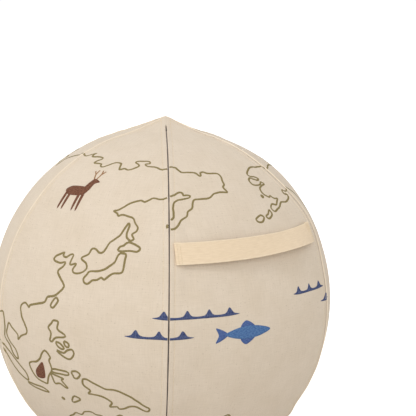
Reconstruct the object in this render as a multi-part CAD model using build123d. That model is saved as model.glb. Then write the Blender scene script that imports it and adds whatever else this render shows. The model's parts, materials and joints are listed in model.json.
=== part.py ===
from build123d import *
import math
import os

# Canvas-covered sitting ball. Millimetres, +Z up, origin on the floor under the ball's middle.
# The zip seam faces -Y, and the carry handle lies on the panel to its right (towards +X).

# ---- ball and cover ----
BLADDER_RADIUS = 275.0        # a 55 cm sitting ball
BLADDER_WALL = 1.2
AIR_GAP = 2.0                 # between the bladder and the canvas, along the middle of a panel
CANVAS = 1.0
SEAM_TAPE = 0.8
SEAM_TAPE_HALF = 10.0
PANEL_COUNT = 6
COVER_RADIUS = BLADDER_RADIUS + AIR_GAP + CANVAS
AXIS_SETBACK = 0.4 * COVER_RADIUS   # each panel bends about an upright axis this far behind the ball's
PEAK_HEIGHT = 1.067 * COVER_RADIUS  # tip of the cover above the ball's middle
PEAK_LATITUDE = 75.0                # where the panels leave the sphere and sweep up to the tip
CONTACT_RADIUS = 70.0               # flat patch on the floor, along the middle of a panel

# ---- zip ----
ZIP_GAP = 3.4                 # between the folded canvas edges
ZIP_SLOT = 1.0                # between the two halves of the chain
CHAIN_TOP = 0.6               # depth of the chain below the canvas face
CHAIN_THICK = 2.2
ZIP_TAPE = 0.6
ZIP_TAPE_HALF = 14.0
ZIP_LOW_ANGLE = -58.0         # ends of the zip, in degrees about the middle of the seam's arc
ZIP_TOP_RADIUS = 38.0         # distance from the ball's axis to the zip's upper end
STOP_LENGTH = 5.0
SLIDER_ANGLE = -55.4          # closed: parked at the low end
SLIDER_WIDTH, SLIDER_LENGTH, SLIDER_PLATE = 9.0, 12.0, 1.2
SLIDER_WEB, SLIDER_WEB_LENGTH = 0.4, 5.0
PLATE_LIFT = 0.8              # top plate above the canvas
PIN_LIFT = 4.4                # pull's pin above the canvas
PIN_RADIUS, EYE_BORE_RADIUS, EYE_RADIUS = 0.7, 0.8, 1.8
PULL_WIDTH, PULL_LENGTH, PULL_THICK = 6.0, 26.0, 1.2
EYE_WIDTH, LUG = 2.4, 0.9

# ---- carry handle ----
WEBBING_WIDTH, WEBBING = 32.0, 2.0
HANDLE_HEIGHT = 0.46 * COVER_RADIUS    # above the ball's middle
HANDLE_HALF_ANGLE = 29.1               # ends, either side of the handle's middle
HANDLE_SHIFT = 0.43                    # towards the side seam, in degrees about the panel's own axis
HANDLE_TILT = 2.2                      # the end by the side seam sits a little higher
HANDLE_STAND_OFF = 9.0                 # under the loop, at its middle
TAB_LENGTH = 9.0                       # folded end that is sewn down
LOOP_GAP = 0.5
STITCH = 0.4
STITCH_ROW = 1.6

# ---- valve, under the peak ----
SEAT_NECK, SEAT_FLANGE, SEAT_BORE = 10.0, 16.0, 4.25
PLUG_STEM, PLUG_HEAD, PLUG_HEAD_THICK, PLUG_LENGTH = 4.2, 8.0, 2.5, 16.0

# ---- worked out from the above ----
MIDDLE = math.sqrt(COVER_RADIUS**2 - CONTACT_RADIUS**2)   # height of the ball's middle
WEDGE = 360.0 / PANEL_COUNT
HALF = math.radians(WEDGE / 2)
FLOOR_STACK = CANVAS + SEAM_TAPE + 0.2
FAR = 2 * COVER_RADIUS


def sweep_radius():
    """Radius of the hollow curve that leaves the sphere at PEAK_LATITUDE and ends at the tip."""
    rise = PEAK_HEIGHT / COVER_RADIUS
    sine = math.sin(math.radians(PEAK_LATITUDE))
    return COVER_RADIUS * (2 * rise * sine - 1 - rise**2) / (2 * (1 - rise * sine))


SWEEP = sweep_radius()
SWEEP_X = (COVER_RADIUS + SWEEP) * math.cos(math.radians(PEAK_LATITUDE))
SWEEP_Z = (COVER_RADIUS + SWEEP) * math.sin(math.radians(PEAK_LATITUDE))


def seam_radius(panel_radius):
    """Distance of a seam from the ball's axis where the panel's middle is at panel_radius."""
    reach = panel_radius + AXIS_SETBACK
    return math.sqrt(reach**2 - (AXIS_SETBACK * math.sin(HALF)) ** 2) - AXIS_SETBACK * math.cos(HALF)


def panel_radius(at_seam):
    """The inverse of seam_radius."""
    return math.hypot(at_seam + AXIS_SETBACK * math.cos(HALF), AXIS_SETBACK * math.sin(HALF)) - AXIS_SETBACK


def arc(cx, cz, radius, start, end):
    """Arc in the XZ plane, heights counted from the ball's middle."""
    at = [
        (cx + radius * math.cos(t), 0, MIDDLE + cz + radius * math.sin(t))
        for t in (start, (start + end) / 2, end)
    ]
    return ThreePointArc(*at)


def outline(depth):
    """Edges of one panel's mid-line at a depth below the canvas face, from beyond the tip to the floor."""
    past_axis = 10.0
    radius, sweep = COVER_RADIUS - depth, SWEEP + depth
    low_z = depth - MIDDLE
    leave = math.radians(PEAK_LATITUDE)
    tip = -math.acos(-(SWEEP_X + past_axis) / sweep)
    upper = arc(SWEEP_X, SWEEP_Z, sweep, tip, leave - math.pi)
    belly = arc(0, 0, radius, leave, math.asin(low_z / radius))
    foot_x = math.sqrt(radius**2 - low_z**2)
    foot = Line((foot_x, 0, depth), (-past_axis, 0, depth))
    return [upper, belly, foot]


def bent(profile):
    """Turns a profile in the XZ plane about the panel's own axis."""
    axis = Axis((-AXIS_SETBACK, 0, 0), (0, 0, 1))
    solid = revolve(profile, axis=axis, revolution_arc=WEDGE)
    return Pos(-AXIS_SETBACK, 0, 0) * Rot(0, 0, -WEDGE / 2) * Pos(AXIS_SETBACK, 0, 0) * solid


def wedge():
    """The 60-degree slice of space that one panel fills, middle along +X."""
    side = FAR * math.tan(HALF)
    corners = Polyline((0, 0, -FAR), (FAR, -side, -FAR), (FAR, side, -FAR), close=True)
    return extrude(make_face(corners), amount=3 * FAR, dir=(0, 0, 1))


def layer(outer, inner):
    """The part of one panel's wall between two depths. A negative depth is outside the canvas."""
    a, b = outline(outer), outline(inner)
    ends = [Line(a[0] @ 0, b[0] @ 0), Line(a[2] @ 1, b[2] @ 1)]
    return bent(make_face(a + b + ends)) & wedge()


def panel_turn(index):
    """Places panel 0 to the right of the zip seam, and the others on round."""
    return Rot(0, 0, -90 + WEDGE / 2 + WEDGE * index)


def block(x0, x1, y0, y1, z0, z1):
    """Box between two corners."""
    return Pos((x0 + x1) / 2, (y0 + y1) / 2, (z0 + z1) / 2) * Box(x1 - x0, y1 - y0, z1 - z0)


def upright(radius, z0, z1, top_radius=None):
    """Cylinder or cone on the ball's axis, from z0 to z1."""
    shape = Cylinder(radius, z1 - z0) if top_radius is None else Cone(radius, top_radius, z1 - z0)
    return Pos(0, 0, (z0 + z1) / 2) * shape


# ---- the zip seam's arc: through the seam at the equator and at 60 degrees ----
SEAM_EQUATOR = seam_radius(COVER_RADIUS)
SEAM_60_X = seam_radius(COVER_RADIUS * math.cos(math.radians(60)))
SEAM_60_Z = COVER_RADIUS * math.sin(math.radians(60))
ARC_OFFSET = (SEAM_60_X**2 + SEAM_60_Z**2 - SEAM_EQUATOR**2) / (2 * (SEAM_60_X - SEAM_EQUATOR))
ARC_RADIUS = SEAM_EQUATOR - ARC_OFFSET


def zip_height(angle):
    """Height of the seam at an angle about the middle of its arc."""
    return MIDDLE + ARC_RADIUS * math.sin(math.radians(angle))


def zip_top():
    """Height of the seam where it is ZIP_TOP_RADIUS from the ball's axis."""
    x = panel_radius(ZIP_TOP_RADIUS)
    return MIDDLE + SWEEP_Z - math.sqrt(SWEEP**2 - (x - SWEEP_X) ** 2)


ZIP_LOW, ZIP_TOP = zip_height(ZIP_LOW_ANGLE), zip_top()


def on_zip(shape, angle=SLIDER_ANGLE):
    """Moves a shape made at the seam (outwards -Y, along the seam +Z) to an angle on its arc."""
    return Pos(0, -ARC_OFFSET, MIDDLE) * Rot(-angle, 0, 0) * Pos(0, -ARC_RADIUS, 0) * shape


def panels():
    names = ["front_right", "right", "rear_right", "rear_left", "left", "front_left"]
    whole = layer(0, CANVAS)
    slit = block(-ZIP_GAP / 2, ZIP_GAP / 2, -FAR, 0, ZIP_LOW, ZIP_TOP)
    for index, name in enumerate(names):
        panel = panel_turn(index) * whole
        if "front" in name:
            panel = panel - slit
        yield "panel_" + name, panel


def seam_tapes():
    """Tape behind each of the five plain seams, stopping short of the tip and the floor's middle."""
    names = ["front_right", "rear_right", "rear", "rear_left", "front_left"]
    clear = 2.2 * SEAM_TAPE_HALF
    wall = layer(CANVAS, CANVAS + SEAM_TAPE)
    both = Rot(0, 0, -WEDGE / 2) * wall + Rot(0, 0, WEDGE / 2) * wall
    strip = both & block(clear, FAR, -SEAM_TAPE_HALF, SEAM_TAPE_HALF, -1, FAR)
    for index, name in enumerate(names):
        yield "seam_tape_" + name, Rot(0, 0, -90 + WEDGE * (index + 1)) * strip


def zip_halves():
    tape_wall = layer(CANVAS, CANVAS + ZIP_TAPE)
    chain_wall = layer(CHAIN_TOP, CHAIN_TOP + CHAIN_THICK)
    low, top = ZIP_LOW + STOP_LENGTH, ZIP_TOP - STOP_LENGTH / 2
    for name, index, side in (("right", 0, 1), ("left", PANEL_COUNT - 1, -1)):
        tape = sorted([side * ZIP_GAP / 2, side * ZIP_TAPE_HALF])
        chain = sorted([side * ZIP_SLOT / 2, side * ZIP_GAP / 2])
        turn = panel_turn(index)
        yield "zip_tape_" + name, turn * tape_wall & block(*tape, -FAR, 0, ZIP_LOW, ZIP_TOP)
        yield "zip_chain_" + name, turn * chain_wall & block(*chain, -FAR, 0, low, top)


def zip_stops():
    wall = layer(CHAIN_TOP, CHAIN_TOP + CHAIN_THICK)
    both = panel_turn(0) * wall + panel_turn(PANEL_COUNT - 1) * wall
    half = ZIP_GAP / 2
    yield "zip_bottom_stop", both & block(-half, half, -FAR, 0, ZIP_LOW, ZIP_LOW + STOP_LENGTH)
    yield "zip_top_stop", both & block(-half, half, -FAR, 0, ZIP_TOP - STOP_LENGTH / 2, ZIP_TOP)


def zip_slider():
    half_w, half_l = SLIDER_WIDTH / 2, SLIDER_LENGTH / 2
    inner_face = CHAIN_TOP + CHAIN_THICK + 0.4
    back = block(-half_w, half_w, inner_face, inner_face + SLIDER_PLATE, -half_l, half_l)
    web = block(-SLIDER_WEB / 2, SLIDER_WEB / 2, -PLATE_LIFT, inner_face,
                -SLIDER_WEB_LENGTH / 2, SLIDER_WEB_LENGTH / 2)
    top = block(-half_w + 1, half_w - 1, -PLATE_LIFT - SLIDER_PLATE, -PLATE_LIFT, -half_l, half_l)
    top = fillet(top.edges().filter_by(Axis.Y), 2.0)
    lug_out = EYE_WIDTH / 2 + 0.3 + LUG
    lug_low, lug_top = -PLATE_LIFT - SLIDER_PLATE, -PIN_LIFT - 1.4
    lugs = [
        block(*sorted([side * lug_out, side * (lug_out - LUG)]), lug_top, lug_low, -1.4, 1.4)
        for side in (1, -1)
    ]
    pin = Pos(0, -PIN_LIFT, 0) * Rot(0, 90, 0) * Cylinder(PIN_RADIUS, 2 * lug_out - 0.2)
    return on_zip(back + web + top + lugs[0] + lugs[1] + pin)


def pull_pin():
    """Where the pull hangs from: the slider's pin at rest."""
    angle = math.radians(SLIDER_ANGLE)
    reach = ARC_RADIUS + PIN_LIFT
    return (0, -ARC_OFFSET - reach * math.cos(angle), MIDDLE + reach * math.sin(angle))


def zip_pull():
    """Tab that hangs straight down from its eye."""
    eye = Rot(0, 90, 0) * (Cylinder(EYE_RADIUS, EYE_WIDTH))
    stem = block(-EYE_WIDTH / 2, EYE_WIDTH / 2, -PULL_THICK / 2, PULL_THICK / 2, -5.5, 0)
    tab = block(-PULL_WIDTH / 2, PULL_WIDTH / 2, -PULL_THICK / 2, PULL_THICK / 2, -PULL_LENGTH, -5)
    tab = fillet(tab.edges().filter_by(Axis.Y), 1.0)
    window = block(-1.4, 1.4, -PULL_THICK, PULL_THICK, -PULL_LENGTH + 3, -PULL_LENGTH + 9)
    bore = Rot(0, 90, 0) * Cylinder(EYE_BORE_RADIUS, 2 * EYE_WIDTH)
    return Pos(*pull_pin()) * (eye + stem + tab - window - bore)


# ---- handle, made on a panel whose middle is along +X ----
LATITUDE = math.asin(HANDLE_HEIGHT / COVER_RADIUS)


def handle_end():
    """Plan position of the outer end of the handle on the canvas."""
    across = math.radians(HANDLE_HALF_ANGLE)
    reach = math.sqrt(COVER_RADIUS**2 - HANDLE_HEIGHT**2) + AXIS_SETBACK
    r = math.sqrt(reach**2 - (AXIS_SETBACK * math.sin(across)) ** 2) - AXIS_SETBACK * math.cos(across)
    return r * math.cos(across), r * math.sin(across)


END_X, END_Y = handle_end()
LOOP_Y = END_Y - TAB_LENGTH - LOOP_GAP
SEWN_X = END_X + WEBBING                       # underside of the loop where it leaves the fold
LOOP_MID_X = math.sqrt(COVER_RADIUS**2 - HANDLE_HEIGHT**2) + HANDLE_STAND_OFF / math.cos(LATITUDE)
LOOP_SAG = LOOP_MID_X - SEWN_X
LOOP_RADIUS = (END_Y**2 + LOOP_SAG**2) / (2 * LOOP_SAG)
LOOP_CENTRE_X = LOOP_MID_X - LOOP_RADIUS


def band(thickness):
    """Webbing bent along the loop's arc, leaning with the panel."""
    along = Vector(-math.sin(LATITUDE), 0, math.cos(LATITUDE)) * (WEBBING_WIDTH / 2)
    out = Vector(math.cos(LATITUDE), 0, math.sin(LATITUDE)) * thickness
    inside = Vector(LOOP_MID_X, 0, MIDDLE + HANDLE_HEIGHT)
    corners = (inside - along, inside + along, inside + along + out, inside - along + out)
    face = make_face(Polyline(*corners, close=True))
    axis = Axis((LOOP_CENTRE_X, 0, 0), (0, 0, 1))
    ring = revolve(face, axis=axis, revolution_arc=90)
    return Pos(LOOP_CENTRE_X, 0, 0) * Rot(0, 0, -45) * Pos(-LOOP_CENTRE_X, 0, 0) * ring


def tilted(shape):
    """Turns a shape about the canvas's normal at the middle of the handle."""
    at = (math.sqrt(COVER_RADIUS**2 - HANDLE_HEIGHT**2), 0, MIDDLE + HANDLE_HEIGHT)
    return shape.rotate(Axis(at, (math.cos(LATITUDE), 0, math.sin(LATITUDE))), HANDLE_TILT)


def on_panel(shape):
    """Moves a handle piece from the panel's middle to its place on the panel right of the zip."""
    axis = Axis((-AXIS_SETBACK, 0, 0), (0, 0, 1))
    return panel_turn(0) * shape.rotate(axis, HANDLE_SHIFT)


def leaning_block(y0, y1, half_width):
    """Box that crosses the canvas at the handle's height and leans with it."""
    box = block(-60, 120, y0, y1, -half_width, half_width)
    lean = Rot(0, -math.degrees(LATITUDE), 0)
    return tilted(Pos(END_X - 10, 0, MIDDLE + HANDLE_HEIGHT) * lean * box)


def loop_end():
    """Middle of the loop's end, before it is tilted and moved to its panel."""
    x = LOOP_CENTRE_X + math.sqrt(LOOP_RADIUS**2 - LOOP_Y**2) + WEBBING * math.cos(LATITUDE) / 2
    return x, LOOP_Y, MIDDLE + HANDLE_HEIGHT + WEBBING * math.sin(LATITUDE) / 2


def handle():
    yield "handle_loop", on_panel(tilted(band(WEBBING) & block(0, FAR, -LOOP_Y, LOOP_Y, 0, FAR)))
    folded = layer(-2 * WEBBING, 0)
    thread = layer(-2 * WEBBING - STITCH, -2 * WEBBING)
    rows = []
    for name, side in (("zip", -1), ("seam", 1)):
        ends = sorted([side * (END_Y - TAB_LENGTH), side * END_Y])
        yield "handle_end_" + name + "_side", on_panel(folded & leaning_block(*ends, WEBBING_WIDTH / 2))
        for inset in (0.25, 0.7):
            y = side * (END_Y - inset * TAB_LENGTH)
            rows.append(thread & leaning_block(y - STITCH_ROW / 2, y + STITCH_ROW / 2, WEBBING_WIDTH / 2 - 2))
    yield "handle_stitching", on_panel(Compound(children=[row.solid() for row in rows]))


def bladder():
    """Hollow ball, flattened where it rests on the cover's floor, open at the valve."""
    top = MIDDLE + COVER_RADIUS + 1
    outer = Pos(0, 0, MIDDLE) * Sphere(BLADDER_RADIUS)
    inner = Pos(0, 0, MIDDLE) * Sphere(BLADDER_RADIUS - BLADDER_WALL)
    above_floor = block(-FAR, FAR, -FAR, FAR, FLOOR_STACK, top)
    above_wall = block(-FAR, FAR, -FAR, FAR, FLOOR_STACK + BLADDER_WALL, top)
    return (outer & above_floor) - (inner & above_wall) - upright(SEAT_NECK, MIDDLE, top)


def valve():
    crown = MIDDLE + BLADDER_RADIUS
    flange_top = MIDDLE + math.sqrt((BLADDER_RADIUS - BLADDER_WALL) ** 2 - SEAT_FLANGE**2) - 0.1
    seat = upright(SEAT_NECK, flange_top, crown + 0.5) + upright(SEAT_FLANGE, flange_top - 1.5, flange_top)
    yield "valve_seat", seat - upright(SEAT_BORE, crown - 30, crown + 1)
    stem = upright(PLUG_STEM - 0.8, crown - PLUG_LENGTH, crown + 0.6, PLUG_STEM)
    yield "valve_plug", stem + upright(PLUG_HEAD, crown + 0.6, crown + 0.6 + PLUG_HEAD_THICK)


def main():
    os.makedirs("parts", exist_ok=True)
    pieces = [("bladder", bladder()), ("zip_slider", zip_slider()), ("zip_pull", zip_pull())]
    for group in (panels(), seam_tapes(), zip_halves(), zip_stops(), handle(), valve()):
        pieces.extend(group)
    for name, shape in pieces:
        export_step(shape, f"parts/{name}.step")
        print(f"{name:28s} volume {shape.volume:12.1f}  solids {len(shape.solids())}")
    print("middle", round(MIDDLE, 3), "tip", round(MIDDLE + PEAK_HEIGHT, 3))
    print("seam arc: offset", round(ARC_OFFSET, 4), "radius", round(ARC_RADIUS, 4))
    print("zip from", round(ZIP_LOW, 2), "to", round(ZIP_TOP, 2), "pull pin", pull_pin())
    print("loop: radius", round(LOOP_RADIUS, 2), "end x, y, z", loop_end())


main()
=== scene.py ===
import json
import math

import bmesh
import bpy
import numpy as np
from mathutils import Matrix, Vector
from mathutils.geometry import delaunay_2d_cdt


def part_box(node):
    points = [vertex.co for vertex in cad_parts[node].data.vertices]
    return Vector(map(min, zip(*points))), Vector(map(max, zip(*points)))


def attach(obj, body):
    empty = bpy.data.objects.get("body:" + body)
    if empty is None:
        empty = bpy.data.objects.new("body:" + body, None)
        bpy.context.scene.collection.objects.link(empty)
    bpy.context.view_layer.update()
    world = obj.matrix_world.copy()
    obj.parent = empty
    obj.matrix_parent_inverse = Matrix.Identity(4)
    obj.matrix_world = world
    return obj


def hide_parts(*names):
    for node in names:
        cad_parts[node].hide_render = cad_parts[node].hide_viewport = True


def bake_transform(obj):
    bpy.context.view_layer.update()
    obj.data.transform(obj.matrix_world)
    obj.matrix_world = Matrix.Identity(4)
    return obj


# A canvas-covered sitting ball: six printed panels over an inflated ball, a long zip in the front
# seam and a webbing carry handle. Metres, +Z up, the zip faces -Y.
# Azimuth is counted from the zip, positive towards +X. A place on the cover is an azimuth in
# degrees and a run, the length down the canvas from the tip. place() turns the two into points.

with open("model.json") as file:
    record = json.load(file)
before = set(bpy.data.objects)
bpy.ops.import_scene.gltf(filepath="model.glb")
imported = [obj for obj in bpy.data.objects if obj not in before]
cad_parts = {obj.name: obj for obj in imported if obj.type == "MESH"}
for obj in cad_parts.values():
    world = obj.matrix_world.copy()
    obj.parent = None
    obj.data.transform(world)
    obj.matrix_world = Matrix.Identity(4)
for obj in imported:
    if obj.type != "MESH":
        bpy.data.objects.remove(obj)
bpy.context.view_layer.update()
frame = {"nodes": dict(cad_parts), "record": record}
MM = 0.001

# ---- sizes of the cover, from the frame ----
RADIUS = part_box("panel_right")[1].x
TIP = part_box("panel_right")[1].z
PEAK = 1.067                      # height of the tip above the ball's middle, in ball radii
MIDDLE = TIP - PEAK * RADIUS
SETBACK = 0.4 * RADIUS            # each panel bends about an upright axis this far behind the ball's
LEAVE = math.radians(75)          # latitude where the panels leave the sphere for the tip
CONTACT = math.sqrt(RADIUS**2 - MIDDLE**2)
CANVAS = 1.0 * MM
WEDGE = 60.0
HALF = math.radians(WEDGE / 2)
PANELS = ["front_right", "right", "rear_right", "rear_left", "left", "front_left"]

# ---- zip ----
ZIP_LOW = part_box("zip_tape_right")[0].z
ZIP_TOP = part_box("zip_tape_right")[1].z
ZIP_HALF_GAP = 0.95 * MM
SEAM_HALF_GAP = 0.45 * MM
ZIP_PITCH = 1.6 * MM
ZIP_STITCH_MM, SEAM_STITCH_MM = 8.2, 6.8     # rows of topstitching, from the seam's middle

# ---- carry handle ----
WEBBING_WIDTH, WEBBING = 32 * MM, 2 * MM
HANDLE_HEIGHT = 0.46 * RADIUS     # above the ball's middle
HANDLE_HALF_ANGLE = 29.1          # ends, either side of the handle's middle
HANDLE_SHIFT = 0.43               # towards the side seam
HANDLE_TILT = 2.2
HANDLE_STAND_OFF = 9 * MM
TAB = 9 * MM                      # folded end that is sewn down

# ---- print ----
MAP_MIDDLE = 155.8                # longitude printed along the zip
MAP_STRETCH, MAP_DROP = 0.95, 13.7   # ball latitude = stretch x printed latitude - drop
STROKE = 3.3 * MM


# ---- small numeric helpers ----
def noise_1d(x, seed, octaves=3):
    """Smooth repeatable noise of about -1 to 1, with features about one unit long."""
    total, size = np.zeros_like(x, dtype=float), 0.0
    for octave in range(octaves):
        rng = np.random.default_rng(seed * 101 + octave)
        table = rng.uniform(-1, 1, 512)
        t = x * 2**octave + 7.3 * octave
        i = np.floor(t).astype(int)
        f = t - i
        f = f * f * (3 - 2 * f)
        total += (table[i % 512] * (1 - f) + table[(i + 1) % 512] * f) / 2**octave
        size += 1 / 2**octave
    return total / size


def noise_2d(x, y, seed):
    """Smooth repeatable noise on a plane, about -1 to 1."""
    rng = np.random.default_rng(seed)
    table = rng.uniform(-1, 1, (64, 64))
    i, j = np.floor(x).astype(int), np.floor(y).astype(int)
    f, g = x - i, y - j
    f, g = f * f * (3 - 2 * f), g * g * (3 - 2 * g)
    i, j = i % 64, j % 64
    k, m = (i + 1) % 64, (j + 1) % 64
    low = table[i, j] * (1 - f) + table[k, j] * f
    high = table[i, m] * (1 - f) + table[k, m] * f
    return low * (1 - g) + high * g


def bell(x, width):
    return np.exp(-((x / width) ** 2))


# ---- the cover's shape ----
def mid_line():
    """The middle of a panel, from the tip to the floor's middle: length along it, r, z and the normal."""
    sine = math.sin(LEAVE)
    sweep = RADIUS * (2 * PEAK * sine - 1 - PEAK**2) / (2 * (1 - PEAK * sine))
    cx, cz = (RADIUS + sweep) * math.cos(LEAVE), (RADIUS + sweep) * math.sin(LEAVE)
    start = math.atan2(PEAK * RADIUS - cz, -cx)
    turn = np.linspace(start % (2 * math.pi), LEAVE + math.pi, 120)
    r = [cx + sweep * np.cos(turn)]
    z = [cz + sweep * np.sin(turn)]
    belly = np.linspace(LEAVE, -math.asin(MIDDLE / RADIUS), 900)[1:]
    r.append(RADIUS * np.cos(belly))
    z.append(RADIUS * np.sin(belly))
    foot = np.linspace(CONTACT, 0, 90)[1:]
    r.append(foot)
    z.append(np.full_like(foot, -MIDDLE))
    r, z = np.concatenate(r), np.concatenate(z) + MIDDLE
    length = np.concatenate([[0], np.cumsum(np.hypot(np.diff(r), np.diff(z)))])
    nr, nz = -np.gradient(z, length), np.gradient(r, length)
    return length, r, z, nr, nz


LINE = mid_line()
TIP_RUN = float(np.interp(RADIUS * math.cos(LEAVE), LINE[1][:120], LINE[0][:120]))
LENGTH = float(LINE[0][-1])


def run_of(latitude):
    """Length from the tip to a latitude in degrees."""
    lat = np.radians(np.asarray(latitude, float))
    near_tip = TIP_RUN * (math.pi / 2 - lat) / (math.pi / 2 - LEAVE)
    return np.where(lat > LEAVE, near_tip, TIP_RUN + RADIUS * (LEAVE - lat))


def latitude_of(run):
    near_tip = math.pi / 2 - run / TIP_RUN * (math.pi / 2 - LEAVE)
    return np.degrees(np.where(run < TIP_RUN, near_tip, LEAVE - (run - TIP_RUN) / RADIUS))


def reach_of(run, alpha):
    """Distance of the cover from the ball's axis, at an angle in radians from a panel's middle."""
    r = np.interp(run, LINE[0], LINE[1])
    return np.sqrt((r + SETBACK) ** 2 - (SETBACK * np.sin(alpha)) ** 2) - SETBACK * np.cos(alpha)


def wander(azimuth, latitude):
    """The seam right of the handle isn't sewn quite straight: degrees that it strays."""
    return 4.5 * bell(azimuth - 60, 15) * bell(latitude - 33, 12)


# Hollows and swellings of the stuffed cover: azimuth, latitude, half-width, half-height, depth in mm
SWELLS = [
    (6.0, 36, 2.6, 5, -2.2), (6.0, 19, 2.6, 6, -2.4),
    (30, 16, 22, 5, -1.6), (28, 41, 20, 4, -0.8), (8, 6, 7, 9, 1.2), (-7, 6, 6, 8, 1.2),
    (90, 44, 24, 20, 3.0), (-92, 72, 20, 6, -2.0), (62, -38, 7, 3.5, 5.0), (60, -46, 14, 5, -3.5),
    (8, -26, 4.5, 8, -2.4), (-7, -25, 4, 9, -2.0), (9, -8, 4, 6, -1.4), (-8, 24, 4, 8, -1.6),
    (16, -25, 6, 8, 1.8), (-15, -24, 6, 9, 1.4), (14, 29, 6, 6, 1.2), (-16, 26, 6, 9, 1.0),
]


def swelling(azimuth, latitude):
    turned = (azimuth + 180) % 360 - 180
    total = np.zeros_like(turned)
    for a, b, wide, high, depth in SWELLS:
        total += depth * bell(turned - a, wide) * bell(latitude - b, high)
    return total


def relief(index, alpha, run, reach):
    """How far the canvas stands off its ideal surface: seams, topstitching, puckers and soft waves."""
    d_mm = (HALF - np.abs(alpha)) * np.maximum(reach, 1e-4) / MM
    side, run_mm = np.sign(alpha), run / MM
    seam = (index + (side > 0)) % 6            # seam 0 is the zip
    latitude = latitude_of(run)
    near_tip = 1 + 1.6 * np.clip((latitude - 45) / 35, 0, 1)
    out = np.zeros_like(d_mm)
    for k in range(6):
        soft = 0.35 if k == 0 else 1.0
        puckers = noise_1d((run_mm + side * d_mm * 0.8) / 12 + 40 * k, 11 + k, 2) * np.exp(-d_mm / 11) * 0.5
        puckers += noise_1d((run_mm + d_mm) / 36 + 90 * k, 31 + k, 2) * np.exp(-d_mm / 24) * 0.8
        out = np.where(seam == k, out + soft * near_tip * puckers * (1 - np.exp(-d_mm / 3)), out)
    fade = np.clip(reach / (25 * MM), 0, 1)
    welt = np.where(side < 0, 0.95, 0.25) / (1 + np.exp((d_mm - 6.4) / 0.7))
    plain = -0.9 * bell(d_mm, 1.2) - 0.45 * bell(d_mm - SEAM_STITCH_MM, 1.0) + welt
    zip_edge = 0.45 * bell(d_mm - 2.6, 2.4) - 0.5 * bell(d_mm - ZIP_STITCH_MM, 0.9)
    zip_edge += 0.25 * bell(d_mm - 5, 3)
    out += np.where(seam == 0, zip_edge, plain) * fade
    across = alpha * np.maximum(reach, 1e-3) / MM
    calm = 1 - np.exp(-d_mm / 16)
    out += 0.8 * noise_2d(across / 75 + 9 * index + 3, run_mm / 110, 5) * calm
    out += 0.3 * noise_2d(across / 26 + 5 * index, run_mm / 40, 6) * calm
    azimuth = WEDGE * index + np.degrees(alpha + HALF)
    swell = swelling(azimuth, latitude)
    lowest = -0.75 - np.maximum(d_mm - 15.5, 0) * 0.15
    on_floor = np.clip((LENGTH - run) / (90 * MM), 0, 1)
    return np.maximum(out + swell, np.maximum(lowest, -1.9)) * MM * on_floor


def panel_place(index, alpha, run, lift=0.0):
    """Points on one panel, at angles in radians from its middle, lifted off the canvas."""
    length, _, z0, nr0, nz0 = LINE
    z = np.interp(run, length, z0)
    nr, nz = np.interp(run, length, nr0), np.interp(run, length, nz0)
    reach = reach_of(run, alpha)
    beta = np.arctan2(reach * np.sin(alpha), reach * np.cos(alpha) + SETBACK)
    off = lift + relief(index, alpha, run, reach)
    x = reach * np.cos(alpha) + nr * np.cos(beta) * off
    y = reach * np.sin(alpha) + nr * np.sin(beta) * off
    azimuth = WEDGE * index + np.degrees(alpha + HALF)
    turn = np.radians(-90 + WEDGE / 2 + WEDGE * index + wander(azimuth, latitude_of(run)))
    up = np.maximum(z + nz * off, 0)
    return np.stack([x * np.cos(turn) - y * np.sin(turn), x * np.sin(turn) + y * np.cos(turn), up], -1)


def place(azimuth, run, lift=0.0):
    """Points on the cover at an azimuth in degrees and a run, lifted off the canvas."""
    azimuth, run = np.broadcast_arrays(np.asarray(azimuth, float), np.asarray(run, float))
    azimuth = azimuth - wander((azimuth + 180) % 360 - 180, latitude_of(run))
    index = np.floor(azimuth / WEDGE).astype(int)
    alpha = np.radians(azimuth - WEDGE * index) - HALF
    return panel_place(index % 6, alpha, run, lift)


def cloth_uv(azimuth, run):
    """Flat position on the cloth, in units of 0.1 m."""
    return np.stack([np.radians(azimuth) * np.interp(run, LINE[0], LINE[1]) * 10, run * 10], -1)


# ---- meshes ----
def mesh_object(name, points, faces, body="cover", material=None, smooth=True):
    mesh = bpy.data.meshes.new(name)
    mesh.from_pydata([tuple(p) for p in points], [], [tuple(int(i) for i in f) for f in faces])
    shape = bmesh.new()
    shape.from_mesh(mesh)
    if shape.calc_volume(signed=True) < 0:
        mesh.flip_normals()
    shape.free()
    mesh.update()
    if smooth:
        mesh.polygons.foreach_set("use_smooth", [True] * len(mesh.polygons))
    obj = bpy.data.objects.new(name, mesh)
    bpy.context.scene.collection.objects.link(obj)
    if material:
        mesh.materials.append(material)
    if body:
        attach(obj, body)
    return obj


def grid_faces(rows, columns, start=0, flip=False, wrap=False):
    """Quads between rows of points. wrap joins the last column to the first."""
    i, j = np.meshgrid(np.arange(rows - 1), np.arange(columns if wrap else columns - 1), indexing="ij")
    k = (j + 1) % columns
    row, below = start + i * columns, start + (i + 1) * columns
    quads = np.stack([row + j, row + k, below + k, below + j], -1).reshape(-1, 4)
    return quads[:, ::-1] if flip else quads


def tube_faces(rings, sides, start=0):
    """Faces of a closed tube of rings, with an end cap at each end."""
    walls = [tuple(f) for f in grid_faces(rings, sides, start, False, True)]
    last = start + (rings - 1) * sides
    return walls + [tuple(range(start + sides - 1, start - 1, -1)), tuple(range(last, last + sides))]


def add_uv(obj, uv):
    layer = obj.data.uv_layers.new(name="cloth")
    loops = np.empty(len(obj.data.loops), dtype=np.int32)
    obj.data.loops.foreach_get("vertex_index", loops)
    layer.data.foreach_set("uv", np.asarray(uv, np.float32)[loops].reshape(-1))


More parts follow.
